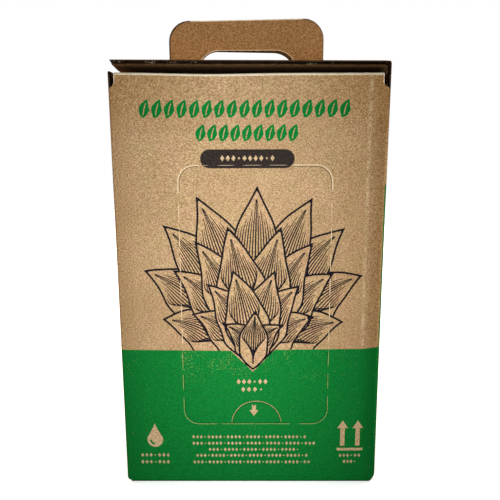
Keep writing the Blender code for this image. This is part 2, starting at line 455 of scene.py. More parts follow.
def perforation():
    """Inks along the cuts and the cuts' outlines, each as the lip and the floor of its groove. Each cut
    gets a pale line, partly pressed paper and partly painted highlight of its lip; those in the band and
    the long ones above it get painted shade on their inner flank.
    """
    left, right, foot, top = WINDOW
    start = ((left + right) / 2 - WINDOW_START, foot)
    outline = [start] + rounded(left, right, foot, top, WINDOW_RADIUS, 12) + [start]
    spans = [(*span, PRESSED_WIDTH) for span in LONG_CUTS] + [(*span, PILL_CUT_WIDTH) for span in PILL_CUTS]
    for first in (RIGHT_DASHES, LEFT_DASHES):
        dashes = [first + DASH_PITCH * dash for dash in range(SIDE_DASHES)]
        spans += [(dash, dash + DASH, SLIT_WIDTH) for dash in dashes]
    lines = [(stretch(outline, low * MM, high * MM, CUT_STEP), width, SLIT) for low, high, width in spans]
    tab = oval(4.6 * MM, foot, 19.5 * MM, TAB_RISE, 0, 180, 24)
    lines.append((stretch(tab, TAB_END, path_length(tab) - TAB_END, CUT_STEP), SLIT_WIDTH, MARK))
    inks = []
    cuts = []
    for points, width, band_ink in lines:
        lip = tapered(points, SLIT_WIDTH)
        beside = moved(points, [SHADE_STEP] * len(points))
        # Painted shade on the inner flank of the cut, and a pale line that is partly pressed paper and
        # partly painted highlight
        if points[len(points) // 2][1] < BAND_CUTS:
            inks += [(tapered(beside, SHADE_WIDTH), GREEN_SHADE), (lip, band_ink)]
        else:
            if width == PRESSED_WIDTH:
                inks.append((tapered(beside, KRAFT_SHADE_WIDTH), KRAFT_SHADE))
            inks.append((tapered(points, width), PRESSED_HIGHLIGHT))
        inner = stretch(points, SLIT_END, path_length(points) - SLIT_END, CUT_STEP)
        cuts.append((lip, stroke(inner, [SLIT_FLOOR] * len(inner))))
    return inks, cuts


# Triangulated sheets
NEAREST = 1e-7
SMOOTH_UP_TO = math.radians(38)


def triangulate(outline, holes=(), lines=(), inks=(), grooves=()):
    """Cut a flat sheet into triangles along lines and the edges of inks.

    Gives the points, the triangles, the topmost ink of each triangle and how
    deep each point lies in a groove, as a share of the groove's depth.
    """
    shapes = [(outline, "sheet")] + [(hole, "hole") for hole in holes] + list(inks)
    shapes += [(shape, "groove") for groove in grooves for shape in groove]
    points = []
    faces = []
    for shape, kind in shapes:
        area = sum(a[0] * b[1] - b[0] * a[1] for a, b in zip(shape, shape[1:] + shape[:1]))
        faces.append(list(range(len(points), len(points) + len(shape))))
        points.extend(Vector(spot) for spot in (shape if area > 0 else shape[::-1]))
    edges = []
    for line in lines:
        edges.append((len(points), len(points) + 1))
        points.extend(Vector(end) for end in line)
    spots, _, cells, _, _, sources = delaunay_2d_cdt(points, edges, faces, 0, NEAREST)
    triangles = []
    colours = []
    sunk = {}
    for cell, source in zip(cells, sources):
        kinds = [shapes[index][1] for index in sorted(source)]
        if "sheet" not in kinds or "hole" in kinds:
            continue
        a, b, c = (spots[index] for index in cell)
        triangles.append(tuple(cell if (b - a).cross(c - a) >= 0 else cell[::-1]))
        colours.append(([KRAFT] + [kind for kind in kinds if isinstance(kind, int)])[-1])
        for index in cell:
            sunk[index] = sunk.get(index, True) and "groove" in kinds
    return spots, triangles, colours, [float(sunk.get(index, False)) for index in range(len(spots))]


def add_layer(parts, sheet, place, near, far, far_ink, side_ink=LINER_EDGE):
    """Add one closed layer between two depths, each a function of the point, to a board's parts."""
    points, faces, inks = parts
    spots, triangles, colours, _ = sheet
    used = sorted({index for triangle in triangles for index in triangle})
    order = {index: len(points) + number for number, index in enumerate(used)}
    count = len(used)
    for depth in (near, far):
        points.extend(place(*spots[index], depth(index, *spots[index])) for index in used)
    sides = set()
    for triangle, colour in zip(triangles, colours):
        a, b, c = (order[index] for index in triangle)
        faces += [(a, b, c), (c + count, b + count, a + count)]
        inks += [colour, far_ink]
        sides.update(((a, b), (b, c), (c, a)))
    open_sides = sorted((a, b) for a, b in sides if (b, a) not in sides)
    faces += [(a, a + count, b + count, b) for a, b in open_sides]
    inks += [side_ink] * len(open_sides)


def make_mesh(name, materials, points, faces, inks):
    mesh = bpy.data.meshes.new(name)
    mesh.from_pydata(points, [], faces)
    for material in materials:
        mesh.materials.append(material)
    mesh.polygons.foreach_set("material_index", inks)
    form = bmesh.new()
    form.from_mesh(mesh)
    bmesh.ops.recalc_face_normals(form, faces=form.faces)
    form.to_mesh(mesh)
    form.free()
    mesh.shade_smooth()
    mesh.set_sharp_from_angle(angle=SMOOTH_UP_TO)
    return show(name, mesh)


def flute_lines(low, high, start, end, across_v):
    """Lines at every step of the wave, across the sheet's first or second direction."""
    count = math.ceil((high - low) / FLUTE_PITCH * FLUTE_STEPS)
    spots = [mix(low, high, step / count) for step in range(1, count)]
    if across_v:
        return [((start, spot), (end, spot)) for spot in spots]
    return [((spot, start), (spot, end)) for spot in spots]


def make_board(
    name, materials, outline, place, rows, waves, holes=(), inks=(), cuts=(), wave_in_v=False, crushed=-1.0
):
    """Two liners and the medium between them, for one flat outline.

    place folds the sheet, rows are the lines along which it bends, waves is the
    span of the flutes, and inks and cuts lie on the outer face. Up to the
    distance crushed the flutes are pressed flat, as a crease leaves them.
    """
    plain = triangulate(outline, holes, rows)
    outer = triangulate(outline, holes, rows, inks, cuts)
    middle = BOARD / 2
    room = middle - LINER - FLUTE_PLAY
    swing = room - MEDIUM / 2

    def level(depth):
        return lambda index, u, v: depth

    def surface(index, u, v):
        return SLIT_DEPTH * outer[3][index]

    def medium(way):
        def depth(index, u, v):
            if v < crushed + 0.01 * MM:
                return middle + way * room
            along = v + FLUTE_DRIFT * u if wave_in_v else u
            return middle - swing * math.cos(2 * math.pi * along / FLUTE_PITCH) + way * MEDIUM / 2

        return depth

    spots, triangles, _, sunk = triangulate(outline, holes, rows + flute_lines(*waves, wave_in_v))
    # The medium and the outer liner's inside take dark colours that paint the shade inside the flutes
    fluted = (spots, triangles, [CUT_EDGE] * len(triangles), sunk)
    parts = ([], [], [])
    add_layer(parts, outer, place, surface, level(LINER), INSIDE)
    add_layer(parts, plain, place, level(BOARD - LINER), level(BOARD), INNER)
    add_layer(parts, fluted, place, medium(-1), medium(1), CUT_EDGE, CUT_EDGE)
    return make_mesh(name, materials, *parts)


def ring_point(u, half_width, half_depth, radius):
    """This far round from the middle of the front, on a ring of this size with round corners."""
    left = u - RING_START
    for turn in range(4):
        straight = 2 * (FACE if turn % 2 else SIDE)
        if left <= straight + TURN or turn == 3:
            break
        left -= straight + TURN
    out, side = (half_depth, half_width) if turn % 2 else (half_width, half_depth)
    bend = math.pi / 2 * clamp((left - straight) / TURN, 0.0, 1.0)
    out -= radius * (1 - math.cos(bend))
    along = (2 * min(left / straight, 1.0) - 1) * (side - radius) + radius * math.sin(bend)
    way_x, way_y = ((-1, 0), (0, -1), (1, 0), (0, 1))[turn]
    return (way_x * out - way_y * along, way_y * out + way_x * along)


def bow(x, z):
    """The share of its width that the right half keeps, as it draws in between base and top."""
    share = clamp((z - PANEL_FOOT) / (SLOT_END - PANEL_FOOT), 0.0, 1.0)
    return 1.0 if x < 0 else 1 - 4 * share * (1 - share) * BOW / HALF_WIDTH


def lean_back(x, z):
    """How far the front panel lies behind its highest part, most near its right corner."""
    level = ease((z - PANEL_FOOT) / (30 * MM)) * ease((SLOT_END - z) / (30 * MM))
    edge = FRONT_EDGE_FALL * (abs(x) / HALF_WIDTH) ** 6
    if x > RELIEF_LINE:
        edge += RELIEF_FALL * ((x - RELIEF_LINE) / (HALF_WIDTH - RELIEF_LINE)) ** 1.3
    swell = FRONT_SWELL * (math.sin(37 * x + 1.0) * math.sin(29 * z + 0.5) + 1.0)
    return level * (edge + swell)


def fold_rise(x):
    """How far the fold over the front panel stands above its lowest part, left of the middle."""
    left = FOLD_RISE_LEFT * ease((-22 * MM - x) / (72 * MM))
    return left + FOLD_RISE_RIGHT * ease((x + 30 * MM) / (55 * MM))


def place_wall(u, v, depth):
    x, y = ring_point(u, HALF_WIDTH, HALF_DEPTH, CORNER)
    inner_x, inner_y = ring_point(u, INNER_WIDTH, INNER_DEPTH, INNER_CORNER)
    share = depth / BOARD
    on_front = 1.0 - ease((abs(u) - FACE) / TURN)
    back = lean_back(x, v) * on_front
    rise = fold_rise(x) * on_front * ease((v - HEIGHT + 34 * MM) / (30 * MM))
    x = mix(x, inner_x, share) * bow(x, v)
    return (x, mix(y, inner_y, share) + back, v + rise)


def wall_outline():
    """The walls laid flat, with the slots between the flaps at every corner."""
    last = RING_END - GLUE_GAP
    rear = 2 * (FACE + TURN + SIDE)
    outline = [(RING_START, SIDE_FOOT_SEAM), (-SLOT_FAR, SIDE_FOOT_SEAM), (-SLOT_FAR, 5.4 * MM)]
    outline += [(-99.2 * MM, 3.9 * MM), (FOOT_LEFT, 2.9 * MM), (FOOT_LEFT, FOOT_SEAM)]
    outline += [(FOOT_RIGHT, FOOT_SEAM), (FOOT_RIGHT, 1.9 * MM)] + mm((97.0, 3.2), (98.6, 5.4))
    outline += [(SLOT_FAR - 0.6 * MM, 8.4 * MM), (SLOT_FAR, 10.0 * MM), (SLOT_FAR, SIDE_FOOT_SEAM)]
    half = [(-SLOT_FAR, SIDE_FOOT_SEAM), (-SLOT_FAR, 4.6 * MM)]
    half += [(-FOOT_REAR, 2.9 * MM), (-FOOT_REAR, FOOT_SEAM)]
    outline += [(rear + u, v) for u, v in mirrored(half)] + [(last, SIDE_FOOT_SEAM), (last, SIDE_SEAM)]
    rear_slots = ((rear + SLOT_SIDE, rear + SLOT_FAR), (rear - SLOT_SIDE, rear - SLOT_FAR))
    for near, far in rear_slots + ((SLOT_SIDE_RIGHT, SLOT_FAR), (-SLOT_SIDE, -SLOT_FAR)):
        start, end = (0, -90) if near > far else (180, 270)
        bend = oval(far, SLOT_END + SLOT_END_RISE, abs(far - near), SLOT_END_RISE, start, end, 10)
        side = [(near, FRONT_SEAM)] + bend + [(far, SIDE_SEAM)]
        outline += side if near > far else side[::-1]
    return outline + [(RING_START, SIDE_SEAM)]


def corner_lines():
    """Upright lines through the round folds, along which the sheet bends."""
    folds = (-FACE - TURN, FACE, FACE + TURN + 2 * SIDE, 3 * FACE + 2 * TURN + 2 * SIDE)
    spots = [fold + TURN * step / CORNER_STEPS for fold in folds for step in range(CORNER_STEPS + 1)]
    return [((u, BELOW), (u, ABOVE)) for u in spots]


def upright_lines(low, high):
    """Lines up the front panel, which its top flap shares where it folds over."""
    spots = list(range(-90, 85, 12)) + [84, 86, 88, 90, 92, 94]
    return [((x * MM, low), (x * MM, high)) for x in spots]


def level_lines():
    """Lines across the walls, so that their bow and relief have points to bend at."""
    left, right = RING_START - BEYOND, RING_END + BEYOND
    return [((left, z * MM), (right, z * MM)) for z in range(10, 310, 12)]


def side_rims(left, right, low, high, cut=0.0):
    """A thin pale edge beside the two slots of a panel, painted highlight along the paper's cut."""
    inks = []
    for side, way in ((left, 1), (right, -1)):
        edge = side - way * 0.5 * MM
        rim = side + way * CUT_RIM
        inks.append(([(edge, low), (rim, low + cut), (rim, high), (edge, high)], WORN_HIGHLIGHT))
    return inks


def make_walls(materials):
    outline = wall_outline()
    rows = corner_lines() + level_lines() + upright_lines(BELOW, ABOVE)
    inks = spray() + garland(-78.4 * MM, 73.3 * MM, 287.0 * MM, 299.4 * MM, 17)
    inks += garland(-38.3 * MM, 36.4 * MM, 270.6 * MM, 282.6 * MM, 9)
    inks += pill() + band() + small_marks()
    inks += side_rims(-SLOT_SIDE, SLOT_SIDE_RIGHT, SLOT_END + 0.6 * SLOT_END_RISE, ABOVE, 1.5 * MM)
    cut_inks, cuts = perforation()
    inks += cut_inks
    waves = (RING_START, RING_END, 0.0, 0.33)
    return make_board("carton_walls", materials, outline, place_wall, rows, waves, inks=inks, cuts=cuts)


# Flaps: u runs along the crease, v from a seam on the wall over the crease and on
class Section:
    """The way a flap folds: pairs of points on its outer and inner face, from the wall on."""

    def __init__(self, wall, seam):
        self.pairs = [((wall, seam), (wall - BOARD, seam))]
        self.marks = [0.0]

    def to(self, outer, inner):
        self.marks.append(self.marks[-1] + math.dist(self.pairs[-1][0], outer))
        self.pairs.append((outer, inner))
        return self.marks[-1]

    def turn(self, centre, radius, inner_centre, inner_radius, start, end):
        """A round fold; the angles are in degrees and the same on both faces."""
        outer = arc(*centre, radius, start, end, FOLD_STEPS)
        inner = arc(*inner_centre, inner_radius, start, end, FOLD_STEPS)
        for pair in zip(outer, inner):
            self.to(*pair)
        return self.marks[-1]

    def corner(self, radius, level, inner_radius, inner_level, way=1):
        """A round fold from upright to level board, over it for way 1 and under it for way -1."""
        (wall, _), (inner_wall, _) = self.pairs[-1]
        centre = (wall - radius, level - way * radius)
        inner_centre = (inner_wall - inner_radius, inner_level - way * inner_radius)
        return self.turn(centre, radius, inner_centre, inner_radius, 0, 90 * way)

    def at(self, v, share):
        """The point this far along the fold and this share of the way to its inner face."""
        index = 0
        while index < len(self.marks) - 2 and v > self.marks[index + 1]:
            index += 1
        along = (v - self.marks[index]) / (self.marks[index + 1] - self.marks[index])
        spot = []
        for outer, inner, next_outer, next_inner in zip(*self.pairs[index], *self.pairs[index + 1]):
            spot.append(mix(mix(outer, next_outer, along), mix(inner, next_inner, along), share))
        return spot


def on_wall(section, way_x, way_y):
    """Places a flap on the wall that lies this way from the middle."""

    def place(u, v, depth):
        out, z = section.at(v, depth / BOARD)
        return (way_x * out, u, z) if way_x else (u, way_y * out, z)

    return place


def make_flap(name, materials, outline, place, section, lines=(), **extras):
    """A flap of corrugated board whose flutes run across its crease."""
    low = min(u for u, v in outline)
    high = max(u for u, v in outline)
    end = max(v for u, v in outline)
    rows = [((low - MM, mark), (high + MM, mark)) for mark in section.marks[1:-1]] + list(lines)
    return make_board(name, materials, outline, place, rows, (low, high, -MM, end + MM), **extras)


# Handle: each of its layers is the end of the front or the rear flap
RISER_FACE = BOARD + 0.15 * MM
RISER_FOLD = 1.0 * MM
FLAP_END = 0.3 * MM
HANDLE_MIDDLE = -2.4 * MM
HANDLE_HALF = 62.2 * MM
HANDLE_RISE = 51.8 * MM
HANDLE_ROUND = 16.5 * MM
HANDLE_STEPS = 14
HOLE_HALF = 40.7 * MM
HOLE_SHIFT = 0.6 * MM
HOLE_FOOT = 3.0 * MM
HOLE_TOP = 28.0 * MM
HOLE_ROUND = 18.0 * MM
HOLE_FOOT_ROUND = 3.0 * MM
TAB_CUT = 0.3 * MM
FRONT_FACE_END = HEIGHT - TOP_FOLD - FRONT_SEAM
# The pale strip along the top fold: partly rubbed paper, partly a painted highlight where the fold catches
# the light
WORN_HIGHLIGHT_FOLD = (FRONT_FACE_END + 0.15 * MM, FRONT_FACE_END + 3.0 * MM)


def handle_shape(front, lift, rim=0.0):
    """Outline of the raised layer and of its hole, less a rim round both."""
    left = HANDLE_MIDDLE - HANDLE_HALF + rim
    right = HANDLE_MIDDLE + HANDLE_HALF - rim
    bend = HANDLE_ROUND - rim
    level = HANDLE_RISE - HANDLE_ROUND
    top = arc(right - bend, level, bend, 0, 90, HANDLE_STEPS)
    top += arc(left + bend, level, bend, 90, 180, HANDLE_STEPS)
    low = HANDLE_MIDDLE + HOLE_SHIFT - HOLE_HALF - rim
    high = HANDLE_MIDDLE + HOLE_SHIFT + HOLE_HALF + rim
    foot_bend = HOLE_FOOT_ROUND + rim
    foot = HOLE_FOOT + HOLE_FOOT_ROUND
    bend = HOLE_ROUND + rim
    level = HOLE_TOP - HOLE_ROUND
    hole = arc(high - foot_bend, foot, foot_bend, -90, 0, 5)
    hole += arc(high - bend, level, bend, 8, 90, 12)
    hole += arc(low + bend, level, bend, 90, 172, 12)
    hole += arc(low + foot_bend, foot, foot_bend, 180, 270, 5)

    def lifted(points, skew=0.0, across=0.0, down=0.0):
        slope = math.tan(math.radians(skew))
        return [(u + across, v + slope * (u - HANDLE_MIDDLE) - down + lift) for u, v in points]

    if front:
        return lifted(top, 0.9, 0.0, 0.35 * MM), lifted(hole)
    return lifted(top, -0.2, -1.2 * MM), lifted(hole, -1.3, -1.2 * MM, 0.1 * MM)


def handle_section(raised):
    """From the wall over the crease, along the top, and up or flat to the middle.

    Gives the section, where the riser starts and where it stands or the flat part ends.
    """
    under = HEIGHT - BOARD
    section = Section(HALF_DEPTH, FRONT_SEAM)
    section.corner(TOP_FOLD, HEIGHT, INNER_FOLD, under)
    section.to((HALF_DEPTH - 3.4 * MM, HEIGHT - 0.5 * MM), (INNER_DEPTH - 1.0 * MM, under))
    section.to((HALF_DEPTH - 6.5 * MM, HEIGHT), (HALF_DEPTH - 6.5 * MM, under))
    edge = RISER_FACE + RISER_FOLD
    if not raised:
        start = section.to((edge, HEIGHT), (edge, under))
        return section, start, section.to((FLAP_END, HEIGHT), (FLAP_END, under))
    centre = (edge, HEIGHT + RISER_FOLD)
    risen = section.turn(centre, RISER_FOLD, centre, RISER_FOLD + BOARD, -90, -180)
    start = section.marks[-1 - FOLD_STEPS]
    far = HEIGHT + HANDLE_RISE + 5 * MM
    section.to((RISER_FACE, far), (RISER_FACE - BOARD, far))
    return section, start, risen


def handle_inks(front, lift, fold, right_side):
    """The fold's pale strip, the dark rim of painted shade round the handle, and the pale rims of its top
    and its hole; the pale strips are partly worn paper and partly painted highlight.
    """
    low, high = WORN_HIGHLIGHT_FOLD
    strips = ((-BEYOND, low, PANEL), (low - 0.45 * MM, low, PRESSED_HIGHLIGHT), (low, high, WORN_HIGHLIGHT))
    inks = [(box(-BESIDE, BESIDE, start, end), ink) for start, end, ink in strips]
    inks += side_rims(-SLOT_SIDE, right_side, -BEYOND, high)
    foot = fold + 1.5 * MM
    # A dark rim of painted shade along the handle's cut edge, with kraft inside it
    for rim, ink in ((0.0, HANDLE_SHADE_RIM), (CUT_RIM, KRAFT)):
        shape, hole = handle_shape(front, lift, rim)
        inks.append((shape + [(shape[-1][0], foot), (shape[0][0], foot)], ink))
    left = shape[-1][0] + HANDLE_ROUND
    right = shape[0][0] - HANDLE_ROUND
    (right_u, right_top), (left_u, top) = shape[HANDLE_STEPS:HANDLE_STEPS + 2]
    rise = top + (right_top - top) / (right_u - left_u) * (right - left)
    # A pale strip along the handle's top fold: partly worn paper, partly painted highlight
    strip = [(left, top - 0.2 * MM), (right, rise - 0.2 * MM)]
    strip += [(right, rise + 2.0 * CUT_RIM), (left, top + 2.0 * CUT_RIM)]
    return inks + [(hole, WORN_HIGHLIGHT), (strip, WORN_HIGHLIGHT)]


def make_handle_flap(name, front, materials):
    raised, fold, risen = handle_section(True)
    flat, _, flat_end = handle_section(False)
    lift = risen - RISER_FOLD
    shape, hole = handle_shape(front, lift)
    right = shape[0][0]
    left = shape[-1][0]
    cut_left, cut_right = left - TAB_CUT, right + TAB_CUT
    side = SLOT_SIDE_RIGHT if front else SLOT_SIDE
    outline = [(-SLOT_SIDE, 0.0), (side, 0.0), (side, flat_end), (cut_right, flat_end), (cut_right, fold)]
    outline += [(right, fold)] + shape + [(left, fold), (cut_left, fold)]
    outline += [(cut_left, flat_end), (-SLOT_SIDE, flat_end)]
    way = -1 if front else 1

    def place(u, v, depth):
        section = raised if left - TAB_CUT / 2 < u < right + TAB_CUT / 2 else flat
        y, z = section.at(v, depth / BOARD)
        if front:
            z += fold_rise(u) * (1.0 - ease((v - 5 * MM) / (20 * MM)))
        return (u, way * y, z)

    inks = handle_inks(front, lift, fold, side)
    lines = upright_lines(-BEYOND, 28 * MM) if front else ()
    return make_flap(name, materials, outline, place, raised, lines, holes=(hole,), inks=inks)


def make_side_flap(materials):
    """The short flap of the left wall; its crease is crushed flat, so the flap rises from it."""
    wall = HALF_WIDTH
    level = HEIGHT + 0.3 * MM
    section = Section(wall, SIDE_SEAM)
    section.corner(1.1 * MM, HEIGHT + 2.5 * MM, INNER_FOLD, level)
    bent = section.to((wall - 3.8 * MM, HEIGHT + 1.3 * MM), (wall - 4.4 * MM, level - 0.2 * MM))
    for reach in (8.5 * MM, 30 * MM):
        end = section.to((wall - reach, level + BOARD), (wall - reach, level))
    half = [(FLAP_SIDE, 0.0), (FLAP_SIDE, bent - 0.3 * MM), (46.3 * MM, bent), (41.3 * MM, end)]
    place = on_wall(section, -1, 0)
    return make_flap("side_flap_left_board", materials, mirrored(half), place, section, crushed=bent)


def base_section(wall, seam, low, reach):
    """From a wall round its foot to where a flap of the base ends, with the marks of both."""
    section = Section(wall, seam)
    bent = section.corner(FOOT_FOLD, low, INNER_FOLD, low + BOARD, -1)
    return section, bent, section.to((reach, low), (reach, low + BOARD))


def make_base_flap(name, front, materials):
    """An outer flap of the base, with the band's ink running on a little under it."""
    section, bent, end = base_section(HALF_DEPTH, FOOT_SEAM, 0.0, 0.4 * MM)
    left, right = (FOOT_LEFT, FOOT_RIGHT) if front else (-FOOT_REAR, FOOT_REAR)
    side = 97.8 * MM
    outline = [(left, 0.0), (right, 0.0), (right, bent - 1.0 * MM), (side, bent + 5 * MM), (side, end)]
    outline += [(-side, end), (-side, bent + 3 * MM), (left, bent - 1.0 * MM)]
    bleed = [(-BESIDE, -BEYOND), (BESIDE, -BEYOND), (BESIDE, bent + 3.2 * MM), (-BESIDE, bent + 2.6 * MM)]
    place = on_wall(section, 0, -1 if front else 1)
    return make_flap(name, materials, outline, place, section, inks=[(bleed, GREEN)])


def make_base_tuck(name, way, materials):
    """An inner flap of the base, on a side wall, just above the outer ones."""
    reach = INNER_WIDTH - 60 * MM
    section, bent, end = base_section(HALF_WIDTH, SIDE_FOOT_SEAM, BOARD + 0.3 * MM, reach)
    narrow = 61.2 * MM
    half = [(FLAP_SIDE, 0.0), (FLAP_SIDE, bent - 2 * MM), (narrow, bent + 0.5 * MM), (narrow, end)]
    inks = [(box(-BESIDE, BESIDE, -BEYOND, bent + 2 * MM), GREEN)]
    return make_flap(name, materials, mirrored(half), on_wall(section, way, 0), section, inks=inks)


# Lid
LID_SEAM = 95.0 * MM
LID_LEFT = -98.0 * MM
LID_SIDE = 64.4 * MM
LID_TILT = 1.6 / 200
LID_LIFT = 0.15 * MM
LID_END_SLANT = 1.8 * MM
LID_END_BULGE = 1.9 * MM
LID_SLOT = (-71.0 * MM, 61.8 * MM, 4.4 * MM)
LID_SLOT_ROUND = 2.0 * MM
LID_LINES = (-97, -96, -95, -94, -92, -60, -20, 20, 60)
CREASE_FOLD = 1.5 * MM
CREASE_INNER_FOLD = 0.8 * MM


def lid_height(x):
    """Underside of the lid, which rises a little to its free left end."""
    return HINGE_Z + LID_LIFT + (HALF_WIDTH - x) * LID_TILT


def place_lid(u, v, depth):
    near_end = 1.0 - ease((u - LID_LEFT) / (5 * MM))
    x = u + LID_END_SLANT * near_end * depth / BOARD
    return (x, v, lid_height(x) + BOARD - depth)


def make_lid(materials):
    bulge = LID_LEFT - LID_END_BULGE
    outline = box(LID_LEFT, LID_SEAM, -LID_SIDE, LID_SIDE)
    outline += [(bulge, LID_SIDE - 22 * MM), (bulge, 22 * MM - LID_SIDE)]
    left, right, half = LID_SLOT
    slot = rounded(left, right, -half, half, LID_SLOT_ROUND, 5)
    lines = [((x * MM, -0.1), (x * MM, 0.1)) for x in LID_LINES]
    waves = (-LID_SIDE, LID_SIDE, LID_LEFT - MM, LID_SEAM + MM)
    return make_board("lid_board", materials, outline, place_lid, lines, waves, (slot,), wave_in_v=True)


def make_lid_crease(materials):
    """The strip of board that bends from the right wall over into the lid."""
    section = Section(HALF_WIDTH, SIDE_SEAM)
    section.to((HALF_WIDTH, HEIGHT + 2 * MM), (INNER_WIDTH, HEIGHT + 2 * MM))
    bent = section.corner(CREASE_FOLD, HINGE_Z + BOARD, CREASE_INNER_FOLD, HINGE_Z)
    end = section.to((LID_SEAM, lid_height(LID_SEAM) + BOARD), (LID_SEAM, lid_height(LID_SEAM)))
    half = [(FLAP_SIDE, 0.0), (FLAP_SIDE, bent - 1.5 * MM), (LID_SIDE, bent), (LID_SIDE, end)]
    place = on_wall(section, 1, 0)
    return make_flap("lid_crease", materials, mirrored(half), place, section, crushed=bent)


# Materials: colours are linear, and lengths in a texture are its size in metres
KRAFT_PAPER = ((0.292, 0.170, 0.073), (0.655, 0.452, 0.243))
ROSY_PAPER = ((0.305, 0.160, 0.074), (0.690, 0.448, 0.262))
KRAFT_FLECK = (0.16, 0.085, 0.035)
KRAFT_FIBRE = (0.80, 0.64, 0.42)
GREEN_INK = ((0.0021, 0.139, 0.021), (0.0056, 0.221, 0.037))
# Painted shade: darker green and darker, warmer kraft towards the front's folds and top corners
GREEN_PAINTED_SHADE = (0.0021, 0.135, 0.022)
PAINTED_SHADE_PAPER = ((0.240, 0.112, 0.036), (0.500, 0.300, 0.125))
# Pale paper of the line beside the right fold: partly rubbed paper, partly painted highlight
RUBBED_HIGHLIGHT_PAPER = ((0.45, 0.29, 0.14), (0.82, 0.63, 0.40))
FLAP_PAPER = ((0.262, 0.137, 0.049), (0.640, 0.392, 0.186))
# The board's inner face: partly a darker inner liner, partly painted shade for the dark underside of the
# lid
INNER_SHADED_PAPER = ((0.095, 0.048, 0.019), (0.180, 0.100, 0.043))
MARK_PAPER = ((0.400, 0.255, 0.125), (0.770, 0.570, 0.350))
# Pale pressed paper along cuts and creases, partly painted highlight of their lips
PRESSED_HIGHLIGHT_PAPER = ((0.680, 0.520, 0.330), (0.920, 0.760, 0.540))
# Pale paper of worn folds and cut edges, which also serves as painted highlight there
WORN_HIGHLIGHT_PALE = (1.0, 0.88, 0.66)
# Nearly black paper of the flutes and raw edges: painted shade of the flute openings
EDGE_SHADE_PAPER = ((0.0035, 0.002, 0.0015), (0.020, 0.010, 0.005))
GREEN_SPECK = (0.30, 0.40, 0.085)
# Dark paper of the liners' raw edges and of the board's inside: painted shade
LINER_EDGE_SHADE_PAPER = ((0.035, 0.016, 0.007), (0.110, 0.054, 0.023))
INSIDE_SHADE_PAPER = ((0.060, 0.032, 0.015), (0.120, 0.072, 0.036))
WHITE = (1.0, 1.0, 1.0)
BLOTCH = 0.84 * MM
FIBRE = 1.7 * MM
FLECK = 1.0 * MM
PAPER_GRAIN = (0.06 * MM, 0.5)


def feed(tree, socket, value):
    """Give a socket a number, a colour or another node's output."""
    if isinstance(value, bpy.types.NodeSocket):
        tree.links.new(value, socket)
    else:
        socket.default_value = (*value, 1.0) if socket.type == "RGBA" else value


def add_node(tree, kind, inputs=()):
    node = tree.nodes.new("ShaderNode" + kind)
    for name, value in dict(inputs).items():
        feed(tree, node.inputs[name], value)
    return node


class Nodes:
    """A material under construction; each call adds a node and gives its output."""

    def __init__(self, name, roughness, gloss=0.10):
        self.material = bpy.data.materials.new(name)
        self.material.use_nodes = True
        self.tree = self.material.node_tree
        self.shader = self.tree.nodes["Principled BSDF"]
        self.shader.inputs["Roughness"].default_value = roughness
        self.shader.inputs["Specular IOR Level"].default_value = gloss
        self.place = self.add("TexCoord").outputs["Object"]
        self.bumps = None

    def add(self, kind, inputs=()):
        return add_node(self.tree, kind, inputs)

    def noise(self, size, detail=2.0, rough=0.5, stretch=(1.0, 1.0, 1.0)):
        """Soft noise whose features have about this size, smaller where it is squeezed."""
        place = self.add("Mapping", {"Vector": self.place, "Scale": stretch}).outputs["Vector"]
        inputs = {"Vector": place, "Scale": 1.0 / size, "Detail": detail, "Roughness": rough}
        return self.add("TexNoise", inputs).outputs["Fac"]

    def calculate(self, operation, *values):
        """A calculation, carried on from left to right where there are more than two values."""
        result = values[0]
        for value in values[1:] or (0.0,):
            node = self.add("Math", {0: result, 1: value})
            node.operation = operation
            result = node.outputs[0]
        return result

    def plus(self, *values):
        return self.calculate("ADD", *values)

    def times(self, *values):
        return self.calculate("MULTIPLY", *values)

    def fade(self, value, low, high, start=0.0, end=1.0):
        """From start to end as the value goes from low to high, smoothly."""
        ends = {"From Min": low, "From Max": high, "To Min": start, "To Max": end}
        node = self.add("MapRange", {"Value": value, **ends})
        node.interpolation_type = "SMOOTHSTEP"
        return node.outputs["Result"]

    def blend(self, share, a, b):
        """Colour a where the share is 0, and colour b where it is 1."""
        node = self.add("Mix")
        node.data_type = "RGBA"
        ends = [socket for socket in node.inputs if socket.type == "RGBA"]
        for socket, value in zip([node.inputs["Factor"]] + ends, (share, a, b)):
            feed(self.tree, socket, value)
        return [socket for socket in node.outputs if socket.type == "RGBA"][0]

    def axes(self):
        return self.add("SeparateXYZ", {0: self.place}).outputs

    def bump(self, height, distance, strength):
        node = self.add("Bump", {"Height": height, "Distance": distance, "Strength": strength})
        if self.bumps:
            feed(self.tree, node.inputs["Normal"], self.bumps)
        self.bumps = node.outputs["Normal"]

    def finish(self, colour, roughness=None):
        inputs = {"Base Color": colour, "Roughness": roughness, "Normal": self.bumps}
        for name, value in inputs.items():
            if value:
                feed(self.tree, self.shader.inputs[name], value)
        return self.material


def paper_tone(nodes):
    """Where the paper is light and where it is dark: blotches and level fibres."""
    blotches = nodes.noise(BLOTCH, 3.0, 0.62)
    fibres = nodes.noise(FIBRE, 4.0, 0.62, (1.0, 1.0, 4.0))
    return nodes.fade(nodes.plus(nodes.times(blotches, 0.52), nodes.times(fibres, 0.48)), 0.413, 0.587)


def start_board(name, roughness, gloss=0.10, flutes="walls"):
    """A sheet of board: its nodes and tone, with the faint washboard of the flutes and the grain."""
    nodes = Nodes(name, roughness, gloss)
    tone = paper_tone(nodes)
    x, y, _ = nodes.axes()
    along = {"x": x, "y": y, "walls": nodes.plus(x, y)}[flutes]
    nodes.bump(nodes.calculate("COSINE", nodes.times(along, 2 * math.pi / FLUTE_PITCH)), 0.05 * MM, 0.35)
    nodes.bump(tone, *PAPER_GRAIN)
    nodes.bump(nodes.noise(0.35 * MM, 2.0), 0.03 * MM, 0.4)
    return nodes, tone


